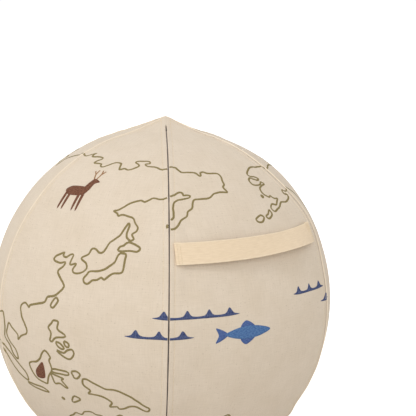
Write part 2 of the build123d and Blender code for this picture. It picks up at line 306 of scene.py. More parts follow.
def capsules(centres, along, out, length, width, height):
    """Many small rounded bars: their points and faces. along and out are unit vectors."""
    rings = [(-0.5, 0.35), (-0.38, 0.85), (-0.15, 1.0), (0.15, 1.0), (0.38, 0.85), (0.5, 0.35)]
    sides = [(math.cos(t), math.sin(t)) for t in np.arange(6) * math.pi / 3]
    across = np.cross(along, out)
    points, faces = [], []
    for n in range(len(centres)):
        for step, size in rings:
            for c, s in sides:
                points.append(centres[n] + along[n] * step * length + across[n] * c * size * width / 2
                              + out[n] * s * size * height / 2)
        faces += tube_faces(len(rings), len(sides), n * len(rings) * len(sides))
    return points, faces


# ---- materials ----
def srgb(*values):
    return tuple(((v / 255 + 0.055) / 1.055) ** 2.4 if v > 10 else v / 255 / 12.92 for v in values) + (1.0,)


class Shader:
    """A Principled material and short calls for the nodes that feed it."""

    def __init__(self, name, roughness=0.85, specular=0.25):
        self.material = bpy.data.materials.new(name)
        self.material.use_nodes = True
        self.tree = self.material.node_tree
        self.out = self.tree.nodes["Principled BSDF"]
        self.out.inputs["Roughness"].default_value = roughness
        self.out.inputs["Specular IOR Level"].default_value = specular

    def node(self, kind, **settings):
        made = self.tree.nodes.new(kind)
        for key, value in settings.items():
            setattr(made, key, value)
        return made

    def link(self, a, b):
        self.tree.links.new(a, b)

    def place_on(self, source, scale, rotation=0.0):
        """Coordinates: 'cloth' for the flat cloth, 'Object' for the object's own space."""
        if source == "cloth":
            at = self.node("ShaderNodeUVMap", uv_map="cloth").outputs["UV"]
        else:
            at = self.node("ShaderNodeTexCoord").outputs[source]
        mapping = self.node("ShaderNodeMapping")
        mapping.inputs["Scale"].default_value = scale
        mapping.inputs["Rotation"].default_value[2] = rotation
        self.link(at, mapping.inputs["Vector"])
        return mapping.outputs["Vector"]

    def noise(self, source, scale, detail=2.0, rotation=0.0):
        made = self.node("ShaderNodeTexNoise")
        made.inputs["Scale"].default_value = 1.0
        made.inputs["Detail"].default_value = detail
        self.link(self.place_on(source, scale, rotation), made.inputs["Vector"])
        return made.outputs["Fac"]

    def math(self, operation, a, b=0.0):
        made = self.node("ShaderNodeMath", operation=operation)
        for socket, value in zip(made.inputs, (a, b)):
            if isinstance(value, (int, float)):
                socket.default_value = value
            else:
                self.link(value, socket)
        return made.outputs[0]

    def ramp(self, factor, low, high, start=0.35, end=0.65):
        made = self.node("ShaderNodeValToRGB")
        for stop, colour, at in zip(made.color_ramp.elements, (low, high), (start, end)):
            stop.color, stop.position = colour, at
        self.link(factor, made.inputs["Fac"])
        return made.outputs["Color"]

    def mix(self, factor, a, b, blend="MIX"):
        made = self.node("ShaderNodeMix", data_type="RGBA", blend_type=blend)
        for socket, value in zip((made.inputs[0], made.inputs[6], made.inputs[7]), (factor, a, b)):
            if isinstance(value, (int, float, tuple)):
                socket.default_value = value
            else:
                self.link(value, socket)
        return made.outputs[2]

    def colour(self, value):
        self.link(value, self.out.inputs["Base Color"])

    def bump(self, height, strength, distance):
        made = self.node("ShaderNodeBump")
        made.inputs["Strength"].default_value = strength
        made.inputs["Distance"].default_value = distance
        self.link(height, made.inputs["Height"])
        self.link(made.outputs["Normal"], self.out.inputs["Normal"])

    def weave(self, pitch, slub=0.5):
        """Height of a plain weave: crossed yarns of a pitch in metres, with thick and thin places."""
        turns = 2 * math.pi * 0.1 / (2 * pitch)
        parts = self.node("ShaderNodeSeparateXYZ")
        self.link(self.place_on("cloth", (turns, turns, 1)), parts.inputs[0])
        warp = self.math("SINE", parts.outputs[0])
        weft = self.math("SINE", parts.outputs[1])
        crossed = self.math("MULTIPLY", warp, weft)
        thick = self.math("ADD", self.noise("cloth", (110, 9, 1)), self.noise("cloth", (9, 110, 1)))
        return self.math("ADD", self.math("MULTIPLY", crossed, 0.5), self.math("MULTIPLY", thick, slub))


CANVAS_LIGHT, CANVAS_DARK = srgb(230, 215, 196), srgb(225, 209, 188)


def canvas_colour(s):
    """Unbleached cotton: soft mottling, faint slub lines both ways and a few darker flecks."""
    mottled = s.ramp(s.noise("cloth", (2.2, 2.2, 1), 3), CANVAS_DARK, CANVAS_LIGHT, 0.2, 0.6)
    lines = s.math("ADD", s.noise("cloth", (70, 5, 1), 1), s.noise("cloth", (5, 70, 1), 1))
    streaked = s.mix(s.math("MULTIPLY", s.math("SUBTRACT", lines, 0.55), 0.32), mottled, srgb(188, 171, 146))
    flecks = s.math("GREATER_THAN", s.noise("cloth", (40, 48, 1), 0), 0.77)
    return s.mix(s.math("MULTIPLY", flecks, 0.3), streaked, srgb(160, 140, 110))


def canvas_material():
    s = Shader("canvas", 0.92, 0.15)
    s.out.inputs["Sheen Weight"].default_value = 0.12
    s.out.inputs["Sheen Roughness"].default_value = 0.6
    s.colour(canvas_colour(s))
    s.bump(s.weave(0.6 * MM), 0.55, 0.35 * MM)
    return s.material


def ink_material(name, main, second, cover=0.9, grain=(60, 60, 1), rotation=0.0):
    """Printed ink that lets some of the cloth through and varies like coloured thread."""
    s = Shader(name, 0.85, 0.2)
    tone = s.ramp(s.noise("cloth", grain, 2, rotation), main, second, 0.38, 0.62)
    worn = s.ramp(s.noise("cloth", (95, 95, 1), 2), (1 - cover,) * 3 + (1,), (0, 0, 0, 1), 0.3, 0.5)
    s.colour(s.mix(worn, tone, CANVAS_DARK))
    s.bump(s.weave(0.6 * MM), 0.5, 0.3 * MM)
    return s.material


def webbing_material():
    """Cotton webbing: cross ribs and fine warp lines with painted shade in the grooves between them, and a
    lighter woven edge from the mesh itself.
    """
    s = Shader("webbing", 0.9, 0.15)
    s.out.inputs["Sheen Weight"].default_value = 0.15
    parts = s.node("ShaderNodeSeparateXYZ")
    s.link(s.place_on("cloth", (1, 1, 1)), parts.inputs[0])
    rib = s.math("SINE", s.math("MULTIPLY", parts.outputs[0], 2 * math.pi * 0.1 / (1.3 * MM)))
    warp = s.math("SINE", s.math("MULTIPLY", parts.outputs[1], 2 * math.pi * 0.1 / (1.0 * MM)))
    height = s.math("ADD", s.math("MULTIPLY", rib, 0.6), s.math("MULTIPLY", warp, 0.4))
    fuzz = s.noise("cloth", (9, 60, 1), 3)
    base = s.ramp(fuzz, srgb(231, 209, 179), srgb(240, 219, 190), 0.3, 0.65)
    # Painted shade: the colour darkens towards the grooves between the ribs and warp lines and lightens on
    # their tops.
    raised = s.math("ADD", s.math("MULTIPLY", height, 0.12), 0.86)
    s.colour(s.mix(raised, srgb(210, 187, 154), base))
    s.bump(height, 0.35, 0.25 * MM)
    return s.material


def thread_material():
    s = Shader("thread", 0.7, 0.3)
    s.colour(s.ramp(s.noise("Object", (900, 900, 900), 2), srgb(214, 194, 160), srgb(240, 224, 196)))
    twist = s.noise("Object", (2500, 2500, 2500), 1)
    s.bump(twist, 0.4, 0.1 * MM)
    return s.material


def plain_material(name, low, high, roughness, metallic=0.0, scale=400, strength=0.2):
    """Moulded, cast or woven small parts: mottled colour and a fine grain."""
    s = Shader(name, roughness, 0.4)
    s.out.inputs["Metallic"].default_value = metallic
    s.colour(s.ramp(s.noise("Object", (scale / 8,) * 3, 3), low, high, 0.3, 0.7))
    s.bump(s.noise("Object", (scale,) * 3, 3), strength, 0.1 * MM)
    return s.material


# ---- canvas panels ----
# Columns of points beside a seam, in mm from it: closest at the fold and the topstitching
SEAM_COLUMNS = [
    0, 0.6, 1.2, 1.9, 2.7, 3.6, 4.6, 5.4, 5.9, 6.3, 6.8, 7.3, 7.9, 8.6, 9.4, 11, 13.5, 17]


def panel_alphas(half_width, low_gap, high_gap):
    """Angles across a panel in one row, close together at the seams. The gaps are lengths cut off."""
    edge = np.array(SEAM_COLUMNS) * MM
    edge = edge * min(1.0, half_width / (30 * MM))
    inner = np.linspace(edge[-1], half_width, 40)[1:]
    d = np.concatenate([edge, inner])
    low, high = low_gap + d * (1 - low_gap / half_width), high_gap + d * (1 - high_gap / half_width)
    left, right = -1 + low / half_width, 1 - high / half_width
    return np.concatenate([left, right[::-1][1:]]) * HALF


def seam_gap(seam, run):
    """Half the gap between the canvas edges: a slit, wider along the zip, shut at the tip."""
    z = float(np.interp(run, LINE[0], LINE[2]))
    past = max(z - ZIP_TOP, ZIP_LOW - z, 0)
    uneven = 1 + 0.25 * float(noise_1d(np.array([run / (22 * MM)]), 71 + seam)[0])
    gap = ZIP_HALF_GAP * max(1 - past / (3 * MM), 0) if seam == 0 else SEAM_HALF_GAP
    return gap * uneven * min(run / (18 * MM), 1)


def build_panel(index, material):
    name = "panel_" + PANELS[index]
    runs = np.concatenate([np.linspace(0.4, 30, 18), np.linspace(30, LENGTH / MM - 0.4, 330)[1:]]) * MM
    alphas = []
    for run in runs:
        half_width = max(float(reach_of(run, HALF)), 0.4 * MM) * HALF
        low, high = [min(seam_gap(seam % 6, run), 0.5 * half_width) for seam in (index, index + 1)]
        alphas.append(panel_alphas(half_width, low, high))
    alpha = np.array(alphas)
    columns = alpha.shape[1]
    run = np.repeat(runs[:, None], columns, 1)
    outer = panel_place(index, alpha, run, 0.0)
    inner = panel_place(index, alpha, run, -CANVAS)
    rows = len(runs)
    points = np.concatenate([outer.reshape(-1, 3), inner.reshape(-1, 3)])
    count = rows * columns
    faces = [grid_faces(rows, columns, 0, True), grid_faces(rows, columns, count)]
    top = np.arange(columns)
    bottom = top + (rows - 1) * columns
    left = np.arange(rows) * columns
    right = left + columns - 1
    for line, flip in ((top, False), (bottom, True), (left, True), (right, False)):
        rim = np.stack([line[:-1], line[1:], line[1:] + count, line[:-1] + count], -1)
        faces.append(rim[:, ::-1] if flip else rim)
    obj = mesh_object(name + "_canvas", points, np.concatenate(faces), "cover", material)
    uv = np.stack([alpha * reach_of(run, alpha) * 10 + 3 * index, run * 10], -1).reshape(-1, 2)
    add_uv(obj, np.concatenate([uv, uv]))
    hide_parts(name)


def frame_at(azimuth, run, lift=0.0):
    """Points on the cover with the unit vectors across (towards +azimuth), down the run and outwards."""
    here = place(azimuth, run, lift)
    down = place(azimuth, run + 0.5 * MM, lift) - place(azimuth, run - 0.5 * MM, lift)
    across = place(azimuth + 0.1, run, lift) - place(azimuth - 0.1, run, lift)
    out = np.cross(down, across)
    units = [v / np.linalg.norm(v, axis=-1, keepdims=True) for v in (across, down, out)]
    return here, units[0], units[1], units[2]


def topstitching(material):
    """A row of stitches on each side of every seam."""
    pitch, length = 4.2 * MM, 3.1 * MM
    for seam in range(6):
        off = (ZIP_STITCH_MM if seam == 0 else SEAM_STITCH_MM) * MM
        for side in (-1, 1):
            run = np.arange(16 * MM, LENGTH - 70 * MM, pitch)
            azimuth = WEDGE * seam + side * np.degrees(off / reach_of(run, HALF))
            azimuth = azimuth + wander(azimuth, latitude_of(run))
            at, _, down, out = frame_at(azimuth, run, 0.02 * MM)
            points, faces = capsules(at, down, out, length, 0.75 * MM, 0.55 * MM)
            name = f"topstitch_seam_{seam}_{'left' if side < 0 else 'right'}"
            mesh_object(name, points, faces, "cover", material)


SEAM_TAPES = {1: "front_right", 2: "rear_right", 3: "rear", 4: "rear_left", 5: "front_left"}


def seam_tapes(material):
    """The bound tape behind each plain seam, seen only in the slit between the canvas edges. Its dark colour
    is painted shade in the slit.
    """
    run = np.linspace(4 * MM, LENGTH - CONTACT + 30 * MM, 200)
    reach = reach_of(run, HALF)
    top, bottom = -1.05, -1.55          # mm from the canvas's outer face
    section = [(across, top) for across in (-10, -5, 0, 5, 10)]
    section += [(across, bottom) for across in (10, 0, -10)]
    for seam, name in SEAM_TAPES.items():
        rings = []
        for across, depth in section:
            azimuth = WEDGE * seam + np.degrees(np.minimum(10 * MM, 0.8 * HALF * reach) * across / 10 / reach)
            azimuth = azimuth + wander(azimuth, latitude_of(run))
            rings.append(place(azimuth, run, depth * MM))
        points = np.stack(rings, 1).reshape(-1, 3)
        faces = tube_faces(len(run), len(section))
        obj = mesh_object("tape_seam_" + name, points, faces, "cover", material)
        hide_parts("seam_tape_" + name)


def seam_folds(material):
    """The felled edge beside each plain seam: a narrow raised fold, coloured paler than the canvas as a
    painted highlight where the fold catches the light.
    """
    run = np.arange(2.5 * MM, LENGTH - CONTACT - 6 * MM, 2.5 * MM)
    reach = reach_of(run, HALF)
    for seam, name in SEAM_TAPES.items():
        off = 2.0 * MM + 0.5 * MM * noise_1d(run / (26 * MM), 90 + seam)
        azimuth = WEDGE * seam + np.degrees(np.minimum(off, 0.5 * HALF * reach) / reach)
        azimuth = azimuth + wander(azimuth, latitude_of(run))
        wide = 2.6 * MM * np.clip(run / (30 * MM), 0.35, 1) * (1 + 0.2 * noise_1d(run / (18 * MM), 95 + seam))
        points, faces, uv = ribbon(azimuth, run, wide, 0.55 * MM)
        add_uv(mesh_object("fold_seam_" + name, points, faces, "cover", material), uv)


# ---- zip ----
def zip_teeth(material):
    """Each half of the coil, as bent loops that reach the middle in turn."""
    run = np.arange(8 * MM, LENGTH, ZIP_PITCH)
    z = np.interp(run, LINE[0], LINE[2])
    run = run[(z > ZIP_LOW + 6 * MM) & (z < ZIP_TOP - 4 * MM)]
    for name, side in (("right", 1), ("left", -1)):
        at_run = run + (ZIP_PITCH / 2 if side > 0 else 0)
        seam, _, _, out = frame_at(np.full_like(at_run, 0.02), at_run, 0.0)
        seam = seam - out * relief(0, np.full_like(at_run, -HALF), at_run, reach_of(at_run, HALF))[:, None]
        sideways = np.tile([1.0 * side, 0, 0], (len(at_run), 1))
        centre = seam - out * 1.5 * MM
        centre[:, 0] = side * 0.98 * MM
        points, faces = capsules(centre, sideways, out, 1.38 * MM, 1.15 * MM, 1.3 * MM)
        rail = centre - out * 0.9 * MM
        rail[:, 0] = side * 1.2 * MM
        ring = [(math.cos(t) * 0.5 * MM, math.sin(t) * 0.45 * MM) for t in np.arange(6) * math.pi / 3]
        base = len(points)
        for n in range(len(rail)):
            points += [rail[n] + sideways[n] * c + out[n] * s for c, s in ring]
        faces += tube_faces(len(rail), 6, base)
        obj = mesh_object("zip_coil_" + name, points, faces, "cover", material)
        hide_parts("zip_chain_" + name)


# ---- carry handle ----
LATITUDE = math.asin(HANDLE_HEIGHT / RADIUS)
LEVEL = RADIUS * math.cos(LATITUDE)            # the canvas's distance from the ball's axis there


def handle_sizes():
    """The handle's end on the canvas, and the plan radius and centre of the loop's arc."""
    across = math.radians(HANDLE_HALF_ANGLE)
    reach = math.sqrt((LEVEL + SETBACK) ** 2 - (SETBACK * math.sin(across)) ** 2) - SETBACK * math.cos(across)
    end_x, end_y = reach * math.cos(across), reach * math.sin(across)
    top = LEVEL + HANDLE_STAND_OFF / math.cos(LATITUDE)
    sag = top - end_x - WEBBING
    radius = (end_y**2 + sag**2) / (2 * sag)
    return end_y, radius, top - radius


END_Y, LOOP_RADIUS, LOOP_CENTRE = handle_sizes()
LOOP_Y = END_Y - TAB - 0.5 * MM
HANDLE_HANG = 2 * MM          # the strap's weight pulls it down a little
HANDLE_LEAN = 6 * MM          # its lower edge stands out, most of all towards the side seam
END_SKEW = 3.5 * MM           # the seam-side end is folded slightly out of square


def to_panel(points):
    """From the panel's middle to the handle's place: tilt, shift along the panel, turn to the panel."""
    level = Matrix.Translation((LEVEL, 0, MIDDLE + HANDLE_HEIGHT))
    lean = Vector((math.cos(LATITUDE), 0, math.sin(LATITUDE)))
    tilt = level @ Matrix.Rotation(math.radians(HANDLE_TILT), 4, lean) @ level.inverted()
    back = Matrix.Translation((-SETBACK, 0, 0))
    shift = back @ Matrix.Rotation(math.radians(HANDLE_SHIFT), 4, "Z") @ back.inverted()
    whole = np.array(Matrix.Rotation(math.radians(-60), 4, "Z") @ shift @ tilt)
    return np.asarray(points) @ whole[:3, :3].T + whole[:3, 3]


def strap_at(y, stand_off, layer):
    """A point of the strap's middle: level stand-off from the canvas, then a height above that."""
    plan = LEVEL + SETBACK
    out = np.stack([np.sqrt(1 - (y / plan) ** 2) * math.cos(LATITUDE), y / plan * math.cos(LATITUDE),
                    np.full_like(y, math.sin(LATITUDE))], -1)
    x = np.sqrt(plan**2 - y**2) - SETBACK + stand_off
    base = np.stack([x, y, np.full_like(y, MIDDLE + HANDLE_HEIGHT)], -1)
    hang = HANDLE_HANG * np.array([math.sin(LATITUDE), 0, -math.cos(LATITUDE)])
    return base + hang + out * np.asarray(layer)[..., None]


def strap_gap(y):
    """How far the loop's inner face stands off the canvas, measured level."""
    return LOOP_CENTRE + np.sqrt(LOOP_RADIUS**2 - y**2) - np.sqrt((LEVEL + SETBACK) ** 2 - y**2) + SETBACK


def strap_path(side):
    """Middle line of one half: along the loop, round the fold and back under the sewn end."""
    last = END_Y - 1 * MM
    bend = LOOP_Y - 6 * MM
    y = np.concatenate([[0], np.linspace(0.02 * MM, bend, 69), np.linspace(bend, last, 16)[1:]])
    gap, layer = strap_gap(y), np.full_like(y, WEBBING / 2)
    t = np.linspace(0, math.pi, 9)[1:]
    under = np.linspace(last, END_Y - TAB, 6)[1:]
    y = np.concatenate([y, last + 0.5 * WEBBING * np.sin(t), under])
    gap = np.concatenate([gap, gap[-1] * (1 + np.cos(t)) / 2, np.zeros(5)])
    layer = np.concatenate([layer, np.full(13, WEBBING / 2)])
    return strap_at(side * y, gap, layer)


def strap_section():
    """Cross-section of the webbing: half-widths and half-thicknesses round it, with a raised woven edge."""
    half = WEBBING_WIDTH / 2
    shape = [
        (-1.0, 0.0), (-0.995, 0.3), (-0.97, 0.5), (-0.93, 0.54), (-0.89, 0.5), (-0.86, 0.40),
        (-0.82, 0.44)]
    shape += [(w, 0.45 + 0.02 * math.cos(w * 9 * math.pi)) for w in np.linspace(-0.7, 0.7, 15)]
    shape += [(-w, t) for w, t in shape[:7][::-1]]
    under = [(w, -t) for w, t in shape[::-1][1:-1]]
    return [(w * half, t * WEBBING) for w, t in shape + under]


def build_handle(webbing, edge, thread):
    section = np.array(strap_section())
    stitches = [[], []]
    for name, side in (("zip", -1), ("seam", 1)):
        path = strap_path(side)
        turn = np.arcsin(path[:, 1] / (LEVEL + SETBACK))
        along = np.stack([-np.sin(turn), np.cos(turn), 0 * turn], -1)
        wide = np.stack([-math.sin(LATITUDE) * np.cos(turn), -math.sin(LATITUDE) * np.sin(turn),
                         np.full_like(turn, math.cos(LATITUDE))], -1)
        ahead = np.gradient(path, axis=0)
        ahead /= np.linalg.norm(ahead, axis=1, keepdims=True)
        out = np.cross(wide, ahead) * -side
        length = np.concatenate([[0], np.cumsum(np.linalg.norm(np.diff(path, axis=0), axis=1))])
        sway = 0.35 * MM * noise_1d(side * length / (45 * MM) + 20.4, 3)
        w, t = section[:, 0], section[:, 1]
        cup = (w / (WEBBING_WIDTH / 2)) ** 2
        place_y = path[:, 1] / END_Y
        lean = HANDLE_LEAN * bell(place_y - 0.58, 0.42) * np.clip(1 - place_y**8, 0, 1)
        thick = t[None, :] + sway[:, None] * cup[None, :] - lean[:, None] * w[None, :] / (WEBBING_WIDTH / 2)
        points = path[:, None] + wide[:, None] * w[None, :, None] + out[:, None] * thick[..., None]
        if side > 0:
            near_end = np.clip((path[:, 1] / END_Y - 0.5) / 0.5, 0, 1) ** 2
            points += along[:, None] * (END_SKEW * near_end[:, None] * (w / (WEBBING_WIDTH / 2)))[..., None]
        rings, sides = points.shape[:2]
        faces = tube_faces(rings, sides)
        placed = to_panel(points.reshape(-1, 3))
        obj = mesh_object(f"handle_webbing_{name}_side", placed, faces, None, webbing)
        obj.data.materials.append(edge)
        for polygon in obj.data.polygons:
            corners = [section[v % sides] for v in polygon.vertices]
            polygon.use_smooth = len(polygon.vertices) == 4
            if all(abs(c[0]) > 0.87 * WEBBING_WIDTH / 2 for c in corners):
                polygon.material_index = 1
        u = np.repeat(side * length[:, None] * 10, sides, 1) + 3.37
        v = np.repeat(w[None, :] * 10, rings, 0)
        add_uv(obj, np.stack([u, v], -1).reshape(-1, 2))
        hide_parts("handle_loop", f"handle_end_{name}_side")
        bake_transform(obj)
        for inset in (0.25, 0.7):
            y = np.full(9, side * (END_Y - inset * TAB))
            w_at = np.linspace(-12.8, 12.8, 9) * MM
            top, across = strap_at(y, strap_gap(y), np.full(9, WEBBING)), wide[-20:-11]
            stitches[0].append(to_panel(top + across * w_at[:, None]))
            stitches[1].append(to_panel(top + across) - to_panel(top))
    at, along = np.concatenate(stitches[0]), np.concatenate(stitches[1])
    out = at - np.array([0, 0, MIDDLE])
    out = out - along * np.sum(out * along, axis=1, keepdims=True)
    out /= np.linalg.norm(out, axis=1, keepdims=True)
    points, faces = capsules(at, along, out, 2.5 * MM, 0.9 * MM, 0.6 * MM)
    obj = mesh_object("handle_stitches", points, faces, "cover", thread)
    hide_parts("handle_stitching")


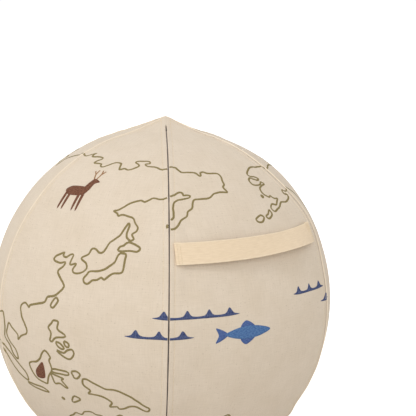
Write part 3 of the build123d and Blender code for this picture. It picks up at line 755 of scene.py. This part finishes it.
# ---- print ----
# Coastlines as this cover prints them, in degrees of longitude and latitude on the printed map.
# The printed map isn't exact geography: some coasts are several degrees from the real ones.
COASTS = {
    "asia": [
        (15, 68), (20, 70), (26, 71), (32, 70), (41, 67), (36, 64.5), (44, 66), (44, 68.5), (54, 68.5),
        (60, 69), (68, 69), (66.5, 72), (72.5, 72.8), (74, 68), (78, 72), (87, 75), (92, 76),
        (95.3, 77.3), (100, 76.2), (103.3, 77.6), (105.4, 78.3), (104.6, 77.2), (106, 76.4),
        (109.5, 76.6), (113, 76.5), (114, 75.6), (112, 74.5), (111.4, 73.5), (114, 73.3), (116.8, 73.1),
        (117.2, 72.2), (119, 71.8), (121.2, 72.6), (124.9, 74.2), (128.5, 74.2), (129.2, 73.2),
        (130, 71.2), (132.6, 71.9), (134.5, 71.3), (137.8, 72.3), (139.9, 73.6), (139.2, 74.4),
        (137.2, 75.2), (138.4, 76), (144.6, 76.2), (145.6, 75.2), (143.2, 74.8), (144.7, 73.8),
        (148.8, 73.6), (152, 72.6), (155.3, 72.7), (156.8, 73.6), (159.3, 73.6), (160.9, 72.4),
        (162.6, 71.3), (165.8, 71.2), (169.6, 70.7), (171.3, 69.3), (172.2, 69.7), (172.4, 70.7),
        (174, 71), (176.5, 70.3), (181.3, 69.9), (182.6, 68.4), (182.2, 66.5), (182.2, 65.1), (181, 64),
        (181.7, 62.7), (182, 61.8), (178.5, 62.1), (175.4, 61.7), (172.8, 60.3), (169.6, 60.1),
        (166.2, 59.8), (165.2, 58.5), (164.7, 56.8), (162.9, 55.6), (162.4, 54.2), (160, 52.6),
        (158.6, 50.6), (157.4, 49.8), (155.8, 49.7), (155, 50.4), (155.8, 52), (157.3, 53.5), (157.4, 55),
        (157.2, 57.3), (158.1, 59.3), (161, 60.2), (163.8, 60.6), (164.6, 61.3), (163, 61.6),
        (161.8, 61.5), (161.4, 62.4), (160.2, 62.8), (157.4, 61.5), (155.8, 60.9), (152.7, 60),
        (149.8, 60.4), (146.6, 58.8), (144.8, 59.3), (141, 58), (138.6, 56.4), (136.6, 55.2),
        (134.9, 54.7), (136.6, 54), (137.2, 53.2), (139, 53.7), (142.8, 52.8), (143.9, 51.3), (145, 49.8),
        (144.7, 48.4), (143.4, 47.3), (144.2, 46), (143.2, 45.3), (141.8, 46.2), (141.6, 47.6),
        (142.1, 50), (141.6, 50.9), (140.9, 49.8), (139.4, 46.9), (137.3, 45), (136, 43.8), (134.6, 41.2),
        (133.3, 40.7), (131.5, 41.8), (130.2, 41.6), (129.4, 39.9), (127.2, 38.4), (129.2, 37),
        (129.6, 35.4), (128.2, 34), (125.6, 33.6), (124.9, 34.6), (125.6, 36.5), (123.4, 36), (124, 39),
        (123, 39.1), (121.4, 38), (120.2, 38.4), (120.3, 39.4), (117.3, 37.8), (117.1, 36.6), (119.3, 36),
        (121.5, 36.4), (121.2, 35.2), (119.5, 33.2), (122.1, 30.2), (122.6, 28.6), (119.9, 25.9),
        (117.2, 25), (116.3, 23.2), (114, 22.3), (110.5, 21.2), (110, 20.3), (108.3, 21.6), (106.5, 20),
        (107, 17), (109, 13.5), (109, 11.6), (106.7, 10.4), (105, 8.7), (105, 10.2), (102.5, 12),
        (100.8, 13.3), (99.9, 11.5), (99.3, 9.3), (100.4, 7.2), (103.3, 4.5), (103.5, 1.6), (101.3, 2.8),
        (100.3, 5.5), (98.3, 8), (98.6, 12), (97.6, 16.2), (95.3, 15.8), (94.3, 18), (91.8, 22.3),
        (89, 21.8), (86.8, 21), (82.3, 16.6), (80.2, 15), (80, 12), (79.8, 10.3), (77.5, 8.1),
        (76.2, 10.5), (74.2, 15), (72.8, 19), (72.6, 21.5), (70.2, 20.8), (68.9, 22.4), (67, 24.8),
        (61.6, 25.1), (57.3, 25.7), (56.3, 27.2), (51.5, 27.9), (48.5, 30), (50, 26.6), (51.5, 24.6),
        (54, 24.2), (56.3, 26.2), (56.7, 24.3), (59.8, 22.5), (57.7, 18.9), (52, 15.6), (45, 12.8),
        (43.3, 12.7), (42.6, 16.5), (39.1, 21.4), (35, 28), (32.5, 29.9), (34.3, 31.3), (35.9, 35.5),
        (36, 36.8), (30.6, 36.9), (27.3, 37), (26.2, 39.3), (29, 41), (35, 42), (41.5, 41.5), (37.5, 45),
        (39, 47.2), (35, 46.2), (33.5, 44.6), (30.7, 46.5), (28, 43.5), (28.3, 41.5), (26.1, 40.7),
        (23.5, 40.2), (23.8, 38), (22.8, 36.6), (21.2, 37.8), (19.4, 41.8), (15.3, 44.2), (13.6, 45.6),
        (12.4, 44.8), (14.3, 42.5), (18.4, 40.1), (16.6, 39.8), (16, 38), (14.2, 40.7), (11, 42.4),
        (8.9, 44.4), (6, 43.1), (3.2, 42.6), (3.1, 41.8), (-0.3, 39.5), (-0.5, 38.3), (-2.1, 36.7),
        (-5.5, 36), (-8.9, 37), (-9.4, 38.8), (-8.8, 43.2), (-1.8, 43.4), (-1.2, 46), (-4.6, 48.4),
        (1.5, 50.5), (4.5, 52.3), (8.2, 53.8), (8.2, 57), (10.5, 57.6), (10.8, 54), (14, 54),
        (18.6, 54.5), (21, 55.5), (23.5, 57.3), (23.6, 59.2), (30, 60), (23, 60), (21.4, 61), (25, 65),
        (22, 65.7), (17.5, 62), (16.5, 57), (12.8, 56), (11, 59), (7, 58), (5, 61), (12, 65.5)],
    "africa": [
        (32.5, 29.9), (34, 27), (37.2, 21), (39, 15.5), (43, 11.5), (51, 11.8), (47, 4), (40, -3),
        (39, -8), (40.6, -15), (35, -20), (35.5, -24), (32.8, -27), (28, -33), (20, -34.8), (17.8, -32),
        (14.5, -22), (12, -15), (13.3, -9), (9, -1), (9.6, 4), (4, 6.3), (-4, 5.2), (-8, 4.5), (-13, 8.5),
        (-17, 14.7), (-16.3, 20), (-13, 27.5), (-9.6, 30.5), (-5.9, 35.8), (10, 37.3), (11, 33.5),
        (20, 31), (25, 31.6)],
    "america": [
        (200, 67), (198, 66), (198.2, 64.4), (200.1, 63.7), (203.4, 64), (204.8, 64.9), (206, 63.9),
        (203.6, 63.4), (201.4, 62.4), (200.7, 60.9), (201.4, 59.7), (203.4, 58.6), (204.6, 59),
        (206, 57.9), (208, 57.7), (207, 56.7), (205.1, 55.5), (202.9, 55.9), (201, 54.6), (202, 53.2),
        (204.3, 53.8), (206.8, 54.6), (209.2, 56), (212, 55.7), (215.5, 57), (216.2, 58.3), (214.6, 58.9),
        (214.8, 60.4), (217, 59.6), (220, 61), (225, 58.5), (229, 55), (232, 51), (237, 48.5), (236, 46),
        (235.7, 40.4), (237.5, 37.5), (239.4, 34.5), (243, 32.5), (245, 28.5), (248, 25), (250.5, 23),
        (249, 26), (245.5, 31.5), (250.5, 26.5), (254.5, 22), (255, 20), (263, 15.8), (266, 16),
        (272.5, 13), (274.2, 10.5), (277, 8.3), (279.5, 7.3), (282, 8), (282.5, 4), (280, 1), (280, -2.5),
        (278.7, -5), (283.7, -13.8), (289.7, -18.5), (288.5, -30), (286.5, -37), (286, -44), (285, -50),
        (289, -54), (294, -55), (291.6, -53), (291, -51), (294.2, -48), (292.4, -46.3), (294.7, -45),
        (295, -41), (297.7, -39), (302.3, -38.2), (302.5, -34.5), (306.5, -34), (311.3, -28.5),
        (312, -25.5), (318, -22.9), (320.5, -19), (321, -15), (325, -8), (323, -4.8), (316, -2.7),
        (310, 0), (308.5, 4.3), (303, 6), (298, 10.6), (292, 11), (288.2, 12.2), (284.5, 10.6),
        (282.7, 8.9), (280.2, 9.5), (276.4, 11), (276.5, 15), (272, 16), (273, 21.5), (269.8, 21.2),
        (269.4, 19.8), (265.5, 18.2), (262.3, 22), (262.6, 27), (265.5, 29.5), (270.5, 29.3),
        (276.5, 29.8), (278.2, 26), (279.8, 26), (279, 31.5), (284, 34.9), (284.2, 37), (286, 40.5),
        (290, 41.7), (289.5, 43.3), (293.5, 45), (294, 43.5), (299, 45.5), (295, 48.3), (293.5, 50.2),
        (300, 50.2), (304, 52), (300, 55.2), (295, 59), (290, 61), (282, 62.3), (283, 57.5), (281, 54.5),
        (280, 51.3), (278, 55.1), (272, 56.6), (266, 58.7), (266, 61), (273, 66.3), (278, 68.5),
        (275, 69.5), (266, 72), (266, 69), (252, 68), (245, 68), (232, 70), (219, 69.7), (215, 71.3),
        (211.5, 71.4), (207, 71.8), (203.6, 70.7), (200.2, 69), (200.6, 67.8), (203.2, 67.4),
        (204.9, 66.4), (203.4, 65.8), (201.4, 66.4)],
    "greenland": [
        (287, 78.3), (300, 82), (328, 83), (342, 80), (340, 74), (338, 70.4), (328, 68), (320, 65),
        (316.5, 60), (309, 64), (306.5, 69), (304, 74), (292, 76)],
    "australia": [
        (139, -14), (140.3, -12.2), (141.4, -12), (142.5, -13.5), (145.3, -15), (146.3, -19),
        (149.5, -22), (153.2, -25), (153.3, -29), (150, -36.5), (147, -38.3), (144.5, -38.2),
        (140.5, -38), (138, -34), (135.5, -34.8), (131, -31.5), (124, -33), (118, -35), (115, -34),
        (113.5, -26), (114, -22), (118, -19.5), (120.3, -17.2), (122, -16), (123.6, -14.7), (126, -14.9),
        (127.4, -13.3), (130.2, -12.8), (131.8, -13.6), (134, -13.6), (135.2, -15), (137, -17.3),
        (138.6, -16.6)],
    "new_guinea": [
        (129.4, -0.2), (130.8, 0.3), (133.5, -0.8), (136.8, -2.1), (140, -2), (142.2, -2.6),
        (145.5, -4.5), (148.4, -7.1), (150.4, -8.3), (150, -9.5), (148.6, -9.3), (146.4, -7.9),
        (144.2, -7.8), (142.8, -8.7), (141, -9.2), (140.2, -8.3), (137.7, -8.7), (138.6, -7),
        (136.9, -5.8), (134, -5), (130.8, -5), (131.6, -3.6), (129.5, -2)],
    "borneo": [
        (116.2, 7.4), (118.4, 5.6), (117.8, 4.4), (118.2, 1.2), (116.4, -1.5), (115.6, -3.6),
        (114.6, -4.6), (110.6, -3.2), (108.8, 0.8), (110, 2.2), (113.2, 3.4)],
    "sulawesi_north": [(118.2, 1.1), (119.5, 1.7), (124, 1.7), (124.3, 0.6), (121, 0.4), (118.6, 0.5)],
    "sulawesi": [
        (117.8, -0.2), (119, -0.5), (122.3, -1.2), (121.4, -2), (123.3, -4.4), (122.2, -4.4),
        (120.6, -3.3), (118.6, -3.7), (118, -2.3)],
    "halmahera": [(125.8, 2), (127.5, 2.5), (128.8, 1.6), (127.6, 0), (126.5, 0), (126.1, 0.9)],
    "timor": [(125, -7.3), (127.2, -7.9), (126.6, -8.7), (124.2, -10), (123.7, -9.2)],
    "sumba": [(119.7, -9), (120.6, -9.3), (120.3, -9.8)],
    "luzon": [
        (120.1, 18), (121.9, 17.8), (121.7, 15.6), (124.2, 14.1), (124, 13.4), (120.8, 12.6),
        (119.6, 11.2), (118.8, 11.6), (119.2, 13.8), (118.3, 15.6), (119.3, 17)],
    "panay": [(121, 11.2), (122.4, 11.1), (123.9, 9.8), (123.2, 9.3), (121.6, 10)],
    "samar": [(124, 12), (125.6, 11.4), (125.4, 10.3), (124.4, 10.6)],
    "mindanao": [
        (121.2, 8.5), (123.6, 8.1), (125, 9.2), (126.6, 9.7), (127.2, 8.6), (126.5, 7.1), (125.3, 6.3),
        (123.4, 7)],
    "taiwan": [(120.3, 25.2), (121.3, 24.4), (120.6, 23), (119.6, 21.9), (118.7, 22.4), (119.3, 24)],
    "japan": [
        (140.2, 41), (142.2, 40.9), (142.2, 39.3), (141.8, 36), (141, 35.1), (138.4, 34.6), (136.2, 32.7),
        (135.2, 33.3), (133.8, 32.4), (132.4, 32.1), (130.8, 30.9), (129.6, 31.1), (129.2, 32.3),
        (130.1, 33.6), (131.1, 34.8), (134.7, 35.3), (137.5, 37), (139, 38.3), (139.6, 40.2)],
    "hokkaido": [
        (142.5, 44.7), (145.3, 44), (146.6, 43.1), (145.6, 42), (143, 42.1), (140.4, 41.7), (139.4, 42.1),
        (140.1, 43.2), (141.2, 43.6)],
    "aleutian_1": [(199.1, 53.9), (199.7, 52.2), (197.1, 50.9), (196, 51.8), (197.6, 52.6)],
    "aleutian_2": [(193.1, 52.4), (194.6, 51.5), (193, 50.1), (191, 50.2), (190.4, 51.3)],
    "bering_island": [(199.2, 59.6), (200.3, 59.1), (199.4, 58.6)],
    "sumatra": [(95.3, 5.6), (98, 4.2), (103.5, -0.5), (106, -3), (105.7, -5.8), (101, -3)],
    "java": [(105.5, -6.7), (108.5, -6.7), (112.6, -6.9), (114.4, -8.2), (108, -7.8)],
    "sri_lanka": [(80, 9.7), (81.8, 7.4), (80.4, 6), (79.7, 8)],
    "madagascar": [(49.2, -12), (50.3, -15.8), (47, -25), (43.5, -22), (44.4, -16.2)],
    "new_zealand_north": [
        (172.8, -34.5), (175.5, -36.8), (178.3, -37.8), (176.8, -40), (175, -41.5), (173.8, -39.3),
        (174.8, -37.5)],
    "new_zealand_south": [
        (172.7, -40.7), (174, -41.6), (171.2, -44.3), (168.5, -46.6), (166.5, -46), (171, -42.5)],
    "fiji": [(175.6, -14.2), (177.2, -13.6), (178.4, -14.8), (177.4, -16.4), (176, -15.9)],
    "britain": [
        (-5, 58.6), (-2, 57.6), (1.6, 52.8), (1.3, 51.2), (-5.5, 50.1), (-3, 51.5), (-5, 52.5),
        (-3.2, 54.5), (-5, 56)],
    "ireland": [(-6, 55.2), (-6.2, 52.3), (-10, 51.6), (-10, 54.2)],
    "iceland": [(-22, 66.2), (-14.6, 65.8), (-14.5, 64.6), (-19, 63.4), (-22.6, 63.9), (-24, 65.5)],
    "cuba": [(275.1, 21.9), (280, 23.1), (285.8, 20.2), (282.5, 19.9)],
    "baffin": [(275, 70), (280, 73.7), (292, 70.5), (298, 66.7), (294, 62), (288, 64.5), (287, 68.5)],
    "victoria_island": [(243, 70), (250, 72.9), (258, 71.5), (256, 69), (247, 69)],
    "ellesmere": [(270, 76.5), (268, 81), (290, 83), (298, 81.5), (282, 76.5)],
    "novaya_zemlya": [(51.5, 71.5), (60, 76), (68.5, 76.8), (57, 71)],
}

def wave(west, east, level, crests):
    """A row of evenly spaced crests over a thin stroke, as a closed outline."""
    pitch = (east - west) / crests
    outline = [(west, level)]
    for n in range(crests):
        middle = west + (n + 0.5) * pitch
        west_foot, east_foot = middle - 0.22 * pitch, middle + 0.22 * pitch
        outline += [(west_foot, level + 0.5), (middle, level + 2.2), (east_foot, level + 0.5)]
    outline.append((east, level))
    return outline + [(east - (n + 0.5) * pitch, level - 0.4) for n in range(crests)]


WAVES = {
    "upper": wave(151.2, 177.2, 22.4, 4),
    "lower": wave(143.4, 162.9, 16.4, 3),
    "seam": wave(198.5, 214.5, 25.3, 3),
    "edge": wave(212.2, 219, 20.4, 1),
}
WAVE_COPIES = [
    ("upper", -100, -8), ("lower", -104, -30), ("upper", 95, 14), ("lower", 110, -26),
    ("seam", 120, 12)]


def leg(middle):
    """A plain tapered leg under the deer's body."""
    return [(middle - 0.6, 60), (middle + 0.6, 60), (middle + 0.35, 54), (middle - 0.35, 54)]


# A plain fish, the same above and below its middle, and a plain four-legged deer
FISH = [
    ("fins", [(173.4, 16.2), (169.6, 18.6), (170.4, 16.2), (169.6, 13.8)]),
    ("fins", [(177.6, 17.8), (179.4, 20), (182.4, 17.8)]),
    ("fins", [(177.6, 14.6), (179.4, 12.4), (182.4, 14.6)]),
    ("body", [
        (172.5, 16.2), (175.5, 17.6), (179.5, 18.2), (184, 17.8), (188, 16.2), (184, 14.6), (179.5, 14.2),
        (175.5, 14.8)]),
]
DEER = [leg(middle) for middle in (109.4, 111.4, 116.4, 118.4)] + [
    [(108, 60.8), (110, 62.4), (114, 62.7), (118, 62.4), (119.8, 61), (118, 59.4), (114, 58.9), (110, 59.2)],
    [(116.9, 61.8), (118.8, 65.2), (120.4, 66.1), (123.4, 64.9), (121.2, 64), (119.8, 61)],
]
ANTLERS = [
    [(119.6, 65.8), (118.6, 68), (119.2, 70)], [(118.6, 68), (117, 69.6)],
    [(120.6, 65.8), (121.8, 68), (121.4, 70)], [(121.8, 68), (123.4, 69.6)],
]


PRINT_EDGE = 1.4 * MM         # the print stops where the canvas folds under at the zip


def smooth_line(points, closed, step):
    """A smooth curve through points on the map, sampled about every step metres."""
    p = np.array(points, float)
    if closed:
        p = np.concatenate([p[-1:], p, p[:2]])
    else:
        p = np.concatenate([2 * p[:1] - p[1:2], p, 2 * p[-1:] - p[-2:-1]])
    scale = np.radians(1) * RADIUS * np.array([math.cos(math.radians(float(p[:, 1].mean()) * 0.9 - 12)), 1])
    out = []
    for a, b, c, d in zip(p[:-3], p[1:-2], p[2:-1], p[3:]):
        count = max(2, int(np.linalg.norm((c - b) * scale) / step))
        t = (np.arange(count) / count)[:, None]
        square, cube = 2 * a - 5 * b + 4 * c - d, 3 * b - a - 3 * c + d
        out.append(0.5 * (2 * b + (c - a) * t + square * t**2 + cube * t**3))
    out.append(p[1:2] if closed else p[-2:-1])
    return np.concatenate(out)


def on_map(points):
    """Azimuth and run of points printed at a longitude and latitude."""
    return points[:, 0] - MAP_MIDDLE, run_of(MAP_STRETCH * points[:, 1] - MAP_DROP)


def from_zip(azimuth, run):
    """Distance from the zip's middle, or a long way past the ends of the zip."""
    z = np.interp(run, LINE[0], LINE[2])
    turned = (azimuth + 180) % 360 - 180
    along = (z > ZIP_LOW - 4 * MM) & (z < ZIP_TOP + 4 * MM)
    return np.where(along, np.radians(turned) * reach_of(run, HALF), 1.0)


def ribbon(azimuth, run, width, lift):
    """A raised printed stroke along points on the cover: points, faces and cloth positions."""
    reach = np.maximum(np.interp(run, LINE[0], LINE[1]), 10 * MM)
    dx, dy = np.gradient(np.radians(azimuth)) * reach, np.gradient(run)
    size = np.maximum(np.hypot(dx, dy), 1e-9)
    nx, ny = -dy / size, dx / size
    section = [(-0.5, -0.3 * MM), (-0.42, lift), (0, lift + 0.04 * MM), (0.42, lift), (0.5, -0.3 * MM)]
    points, uv = [], []
    for across, up in section:
        a, r = azimuth + np.degrees(nx * width * across / reach), run + ny * width * across
        points.append(place(a, r, up))
        uv.append(cloth_uv(a, r))
    points, uv = np.stack(points, 1).reshape(-1, 3), np.stack(uv, 1).reshape(-1, 2)
    return points, tube_faces(len(azimuth), len(section)), uv


def print_strokes(name, lines, closed, width, material, lift=0.2 * MM):
    """All strokes of one drawing as one piece, broken where they would cross the zip."""
    points, faces, uv = [], [], []
    for n, line in enumerate(lines):
        azimuth, run = on_map(smooth_line(line, closed, 1.8 * MM))
        sway = np.arange(len(run)) * 1.8 / 7
        run = run + 0.55 * MM * noise_1d(sway, 51 + n, 2)
        azimuth = azimuth + 0.11 * noise_1d(sway, 56 + n, 2)
        wide = width * (1 + 0.22 * noise_1d(sway / 2.2, 61 + n, 2))
        keep = (np.abs(from_zip(azimuth, run)) > PRINT_EDGE) & (run > 6 * MM)
        keep &= run < LENGTH - CONTACT - 4 * MM
        breaks = np.flatnonzero(np.diff(keep.astype(int))) + 1
        for part in np.split(np.arange(len(run)), breaks):
            if not keep[part[0]] or len(part) < 4:
                continue
            p, f, t = ribbon(azimuth[part], run[part], wide[part], lift)
            faces += [tuple(i + len(points) for i in face) for face in f]
            points += list(p)
            uv += list(t)
    obj = mesh_object(name, points, faces, "cover", material)
    add_uv(obj, uv)


def clipped(points, keep_right):
    """The part of an outline on one side of the zip, in degrees of azimuth and metres of run."""
    out = []
    for (a0, r0), (a1, r1) in zip(points, np.roll(points, -1, axis=0)):
        edge = math.degrees(PRINT_EDGE / float(reach_of(r0, HALF))) * (1 if keep_right else -1)
        in0, in1 = (a0 > edge) == keep_right, (a1 > edge) == keep_right
        if in0:
            out.append((a0, r0))
        if in0 != in1:
            t = (edge - a0) / (a1 - a0)
            out.append((edge, r0 + t * (r1 - r0)))
    return np.array(out)


def patch_mesh(outline, lift):
    """A filled shape that lies on the canvas, with its rim sunk into it."""
    scale = np.radians(1) * np.interp(outline[:, 1].mean(), LINE[0], LINE[1])
    flat = outline * [scale, 1.0]
    low, high = flat.min(axis=0), flat.max(axis=0)
    step = 3.0 * MM
    columns, rows = [np.arange(low[i] + step / 2, high[i], step) for i in (0, 1)]
    gx, gy = np.meshgrid(columns, rows)
    verts = [Vector(p) for p in flat] + [Vector(p) for p in np.stack([gx.ravel(), gy.ravel()], -1)]
    made = delaunay_2d_cdt(verts, [], [list(range(len(flat)))], 1, 1e-6)
    at = np.array([(v.x, v.y) for v in made[0]])
    azimuth, run = at[:, 0] / scale, at[:, 1]
    count = len(at)
    points = np.concatenate([place(azimuth, run, lift), place(azimuth, run, -0.3 * MM)])
    edges, faces = {}, []
    for f in made[2]:
        a, b, c = f
        turn = (at[b][0] - at[a][0]) * (at[c][1] - at[a][1]) - (at[b][1] - at[a][1]) * (at[c][0] - at[a][0])
        f = (a, b, c) if turn < 0 else (a, c, b)
        faces += [f, tuple(i + count for i in f[::-1])]
        for i in range(3):
            edges[(f[i], f[(i + 1) % 3])] = True
    for a, b in edges:
        if (b, a) not in edges:
            faces.append((b, a, a + count, b + count))
    uv = cloth_uv(azimuth, run)
    return points, faces, np.concatenate([uv, uv])


def print_patches(name, outlines, material, lift=0.22 * MM):
    """Filled printed shapes as one piece."""
    points, faces, uv = [], [], []
    for outline in outlines:
        curve = smooth_line(outline, True, 2.0 * MM)[:-1]
        azimuth, run = on_map(curve)
        shape = np.stack([azimuth, run], -1)
        crosses = azimuth.min() < 0 < azimuth.max()
        for side in ((True, False) if crosses else (None,)):
            part = shape if side is None else clipped(shape, side)
            if len(part) < 3:
                continue
            p, f, t = patch_mesh(part, lift)
            faces += [tuple(i + len(points) for i in face) for face in f]
            points += list(p)
            uv += list(t)
    obj = mesh_object(name, points, faces, "cover", material)
    add_uv(obj, uv)


def shifted(outline, east, north):
    return [(a + east, b + north) for a, b in outline]


def build_print():
    olive = ink_material("ink_olive", srgb(130, 116, 74), srgb(148, 133, 92), 0.94)
    for name, line in COASTS.items():
        print_strokes("print_coast_" + name, [line], True, STROKE, olive)
    navy = ink_material("ink_navy", srgb(46, 60, 104), srgb(84, 96, 134), 0.88, (80, 25, 1))
    for name, outline in WAVES.items():
        print_patches("print_waves_" + name, [outline], navy)
    for n, (name, east, north) in enumerate(WAVE_COPIES):
        print_patches(f"print_waves_far_{n + 1}", [shifted(WAVES[name], east, north)], navy)
    fins = ink_material("ink_blue", srgb(58, 84, 140), srgb(88, 112, 164), 0.93, (30, 95, 1), 0.5)
    scales = ink_material("ink_steel", srgb(60, 96, 150), srgb(92, 130, 176), 0.93, (30, 95, 1), 0.3)
    coat = ink_material("ink_brown", srgb(96, 58, 42), srgb(132, 88, 66), 0.93, (30, 80, 1), 0.7)
    horn = ink_material("ink_tan", srgb(142, 100, 62), srgb(164, 122, 80), 0.93, (30, 80, 1), 0.2)
    places = {"print_fish": (0, 0), "print_fish_far_1": (-118, -4), "print_fish_far_2": (128, -2)}
    for name, (east, north) in places.items():
        for part, ink, lift in (("fins", fins, 0.22), ("body", scales, 0.3)):
            outlines = [shifted(outline, east, north) for kind, outline in FISH if kind == part]
            print_patches(f"{name}_{part}", outlines, ink, lift * MM)
    for n, outline in enumerate(DEER):
        print_patches(f"print_deer_{n + 1}", [outline], coat, (0.22 + 0.03 * n) * MM)
    print_strokes("print_deer_antlers", ANTLERS, False, 2.0 * MM, horn)
    leaf = [(111.6, -3), (114.6, -2.6), (115.3, 0.2), (114.9, 3.2), (113, 1.6), (111.2, -0.8)]
    print_patches("print_leaf", [leaf], coat)


def finish_cad_nodes(thread):
    """Materials for the CAD nodes that stay: trim, zip metal, and the parts inside."""
    tape = plain_material("zip_tape", srgb(108, 98, 90), srgb(134, 122, 112), 0.85, 0, 1600, 0.4)
    metal = plain_material("zip_metal", srgb(120, 108, 96), srgb(150, 138, 124), 0.35, 0.9, 900, 0.12)
    pvc = plain_material("bladder_pvc", srgb(96, 98, 101), srgb(116, 118, 121), 0.45, 0, 300, 0.15)
    valve = plain_material("valve", srgb(212, 211, 206), srgb(226, 225, 221), 0.4, 0, 700, 0.1)
    chosen = {"zip_tape": tape, "zip_metal": metal, "zip_chain": metal,
              "bladder_pvc": pvc, "valve": valve, "thread": thread}
    slots = {part["node"]: part["material_slot"] for part in frame["record"]["subparts"]}
    for name, node in frame["nodes"].items():
        material = chosen.get(slots.get(name))
        if material is None or node.hide_render:
            continue
        node.data.materials.clear()
        node.data.materials.append(material)


# ---- studio ----
LAMPS = [   # place, energy in watts, size
    ((-2.0, -2.0, 2.9), 27, 0.5),
    ((-3.0, -0.5, 1.3), 2, 1.5),
    ((0.0, -3.0, 1.7), 14, 1.5),
]
SURROUND = 0.8


def studio():
    """White floor and backdrop, an even white surround, and soft lamps above and to the left.

    The camera sees a bright floor. Light bounces off a duller one, 2 mm lower, that it can't see."""
    size, low = 16.0, -0.5 * MM
    corners = [(-size, -size, low), (size, -size, low), (size, size, low), (-size, size, low)]
    seen = plain_material("floor", (0.93, 0.93, 0.93, 1), (0.95, 0.95, 0.95, 1), 0.9, 0, 10, 0.0)
    seen.node_tree.nodes["Principled BSDF"].inputs["Emission Color"].default_value = (1, 1, 1, 1)
    seen.node_tree.nodes["Principled BSDF"].inputs["Emission Strength"].default_value = 0.6
    floor = mesh_object("floor", corners, [(0, 1, 2, 3)], None, seen, False)
    floor.visible_diffuse = floor.visible_glossy = False
    dull = plain_material("table", (0.8, 0.78, 0.75, 1), (0.82, 0.8, 0.77, 1), 0.9, 0, 10, 0.0)
    dull.node_tree.nodes["Principled BSDF"].inputs["Emission Color"].default_value = (1, 0.99, 0.96, 1)
    dull.node_tree.nodes["Principled BSDF"].inputs["Emission Strength"].default_value = 0.1
    under = [(x, y, -2.5 * MM) for x, y, _ in corners]
    table = mesh_object("table", under, [(0, 1, 2, 3)], None, dull, False)
    table.visible_camera = False
    bpy.ops.mesh.primitive_uv_sphere_add(radius=24, segments=48, ring_count=24)
    dome = bpy.context.object
    dome.name = "backdrop"
    glow = bpy.data.materials.new("backdrop")
    glow.use_nodes = True
    glow.node_tree.nodes.clear()
    emission = glow.node_tree.nodes.new("ShaderNodeEmission")
    emission.inputs["Strength"].default_value = 1.05
    output = glow.node_tree.nodes.new("ShaderNodeOutputMaterial")
    glow.node_tree.links.new(emission.outputs[0], output.inputs["Surface"])
    dome.data.materials.append(glow)
    for kind in ("diffuse", "glossy", "transmission", "shadow", "volume_scatter"):
        setattr(dome, "visible_" + kind, False)
    world = bpy.data.worlds.new("studio")
    world.use_nodes = True
    world.node_tree.nodes["Background"].inputs["Color"].default_value = (1, 0.995, 0.985, 1)
    world.node_tree.nodes["Background"].inputs["Strength"].default_value = SURROUND
    bpy.context.scene.world = world
    bpy.context.scene.view_settings.view_transform = "Standard"
    for n, (at, energy, wide) in enumerate(LAMPS):
        light = bpy.data.lights.new(f"lamp_{n + 1}", "AREA")
        light.energy, light.size = energy, wide
        lamp = bpy.data.objects.new(f"lamp_{n + 1}", light)
        lamp.location = at
        lamp.rotation_euler = (Vector((0, 0, MIDDLE)) - lamp.location).to_track_quat("-Z", "Y").to_euler()
        bpy.context.scene.collection.objects.link(lamp)


def camera():
    """A long lens 5.5 ball radii away, aimed past the ball so that it sits low and left in the frame."""
    distance, elevation, azimuth, roll = 5.5, math.radians(14.7), math.radians(-1.85), math.radians(0.8)
    ball_radius = 0.39988            # its angular radius as a share of the frame's width
    left, low = 0.10913, 0.20144     # the ball's middle from the frame's middle, in frame widths
    focal = ball_radius * math.sqrt(distance**2 - 1)
    flat = math.cos(elevation)
    away = Vector((math.sin(azimuth) * flat, -math.cos(azimuth) * flat, math.sin(elevation)))
    data = bpy.data.cameras.new("camera")
    data.sensor_width = 36
    data.lens = focal * data.sensor_width
    obj = bpy.data.objects.new("camera", data)
    facing = (-away).to_track_quat("-Z", "Y").to_matrix()
    turned = facing @ Matrix.Rotation(roll, 3, "Z")
    towards = turned @ Vector((-left, -low, -focal)).normalized()
    swing = towards.rotation_difference(facing @ Vector((0, 0, -1)))
    where = Vector((0, 0, MIDDLE)) + away * distance * RADIUS
    obj.matrix_world = Matrix.Translation(where) @ (swing.to_matrix() @ turned).to_4x4()
    bpy.context.scene.collection.objects.link(obj)
    bpy.context.scene.camera = obj


def build():
    canvas = canvas_material()
    thread = thread_material()
    for index in range(6):
        build_panel(index, canvas)
    topstitching(thread)
    # The seam tape's dark colour is painted shade for the slit between the canvas edges.
    seam_tapes(plain_material("seam_tape", srgb(128, 112, 88), srgb(150, 134, 108), 0.9, 0, 1600, 0.4))
    zip_teeth(plain_material("zip_coil", srgb(176, 160, 150), srgb(200, 184, 174), 0.5, 0, 900, 0.2))
    edge = plain_material("webbing_edge", srgb(230, 210, 181), srgb(240, 222, 194), 0.9, 0, 1200, 0.5)
    build_handle(webbing_material(), edge, thread)
    # The fold's paler colour is a painted highlight.
    seam_folds(plain_material("canvas_fold_painted_highlight", srgb(236, 220, 198), srgb(244, 229, 207), 0.92, 0, 900, 0.4))
    build_print()
    finish_cad_nodes(thread)


build()
studio()
camera()
